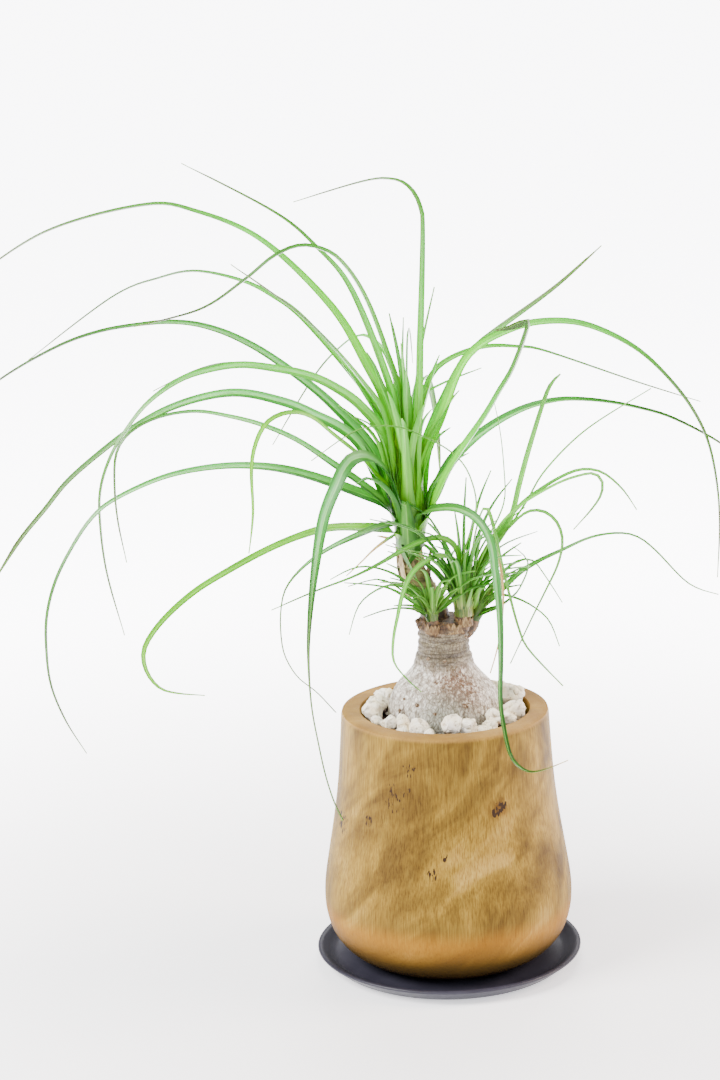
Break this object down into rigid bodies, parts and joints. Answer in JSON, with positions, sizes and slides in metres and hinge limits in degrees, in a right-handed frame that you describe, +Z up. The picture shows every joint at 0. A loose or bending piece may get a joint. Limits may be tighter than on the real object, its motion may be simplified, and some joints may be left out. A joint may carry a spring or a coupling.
{
  "type": "potted ponytail palm",
  "caption": "Ponytail palm with a swollen stem and long arching strap leaves, dressed with pumice in a turned wooden pot on a round saucer.",
  "frame": {"origin": "centre of the saucer's underside, on the surface it stands on and on the pot's axis", "axes": "+Z up along the pot's axis, +X to the right as pictured, +Y away from the picture's camera"},
  "size_m": [0.6091, 0.3326, 0.6287],
  "materials": {
    "charcoal_saucer": "satin charcoal",
    "turned_wood": "sanded and waxed, pale olive brown",
    "dark_soil": "rough, dark brown",
    "pumice": "rough, cream white",
    "caudex_bark": "dry, finely cracked, pinkish grey",
    "main_leaf_green": "satin leaf, fresh green",
    "front_leaf_green": "satin leaf, light green",
    "right_leaf_green": "satin leaf, dark green",
    "left_leaf_green": "satin leaf, dark green"
  },
  "bodies": {
    "root": {"saucer": "charcoal_saucer", "pot": "turned_wood", "soil": "dark_soil", "pumice_top_dressing": "pumice", "caudex": "caudex_bark", "main_rosette": "main_leaf_green", "front_shoot": "front_leaf_green", "right_shoot": "right_leaf_green", "left_shoot": "left_leaf_green"}
  },
  "joints": []
}
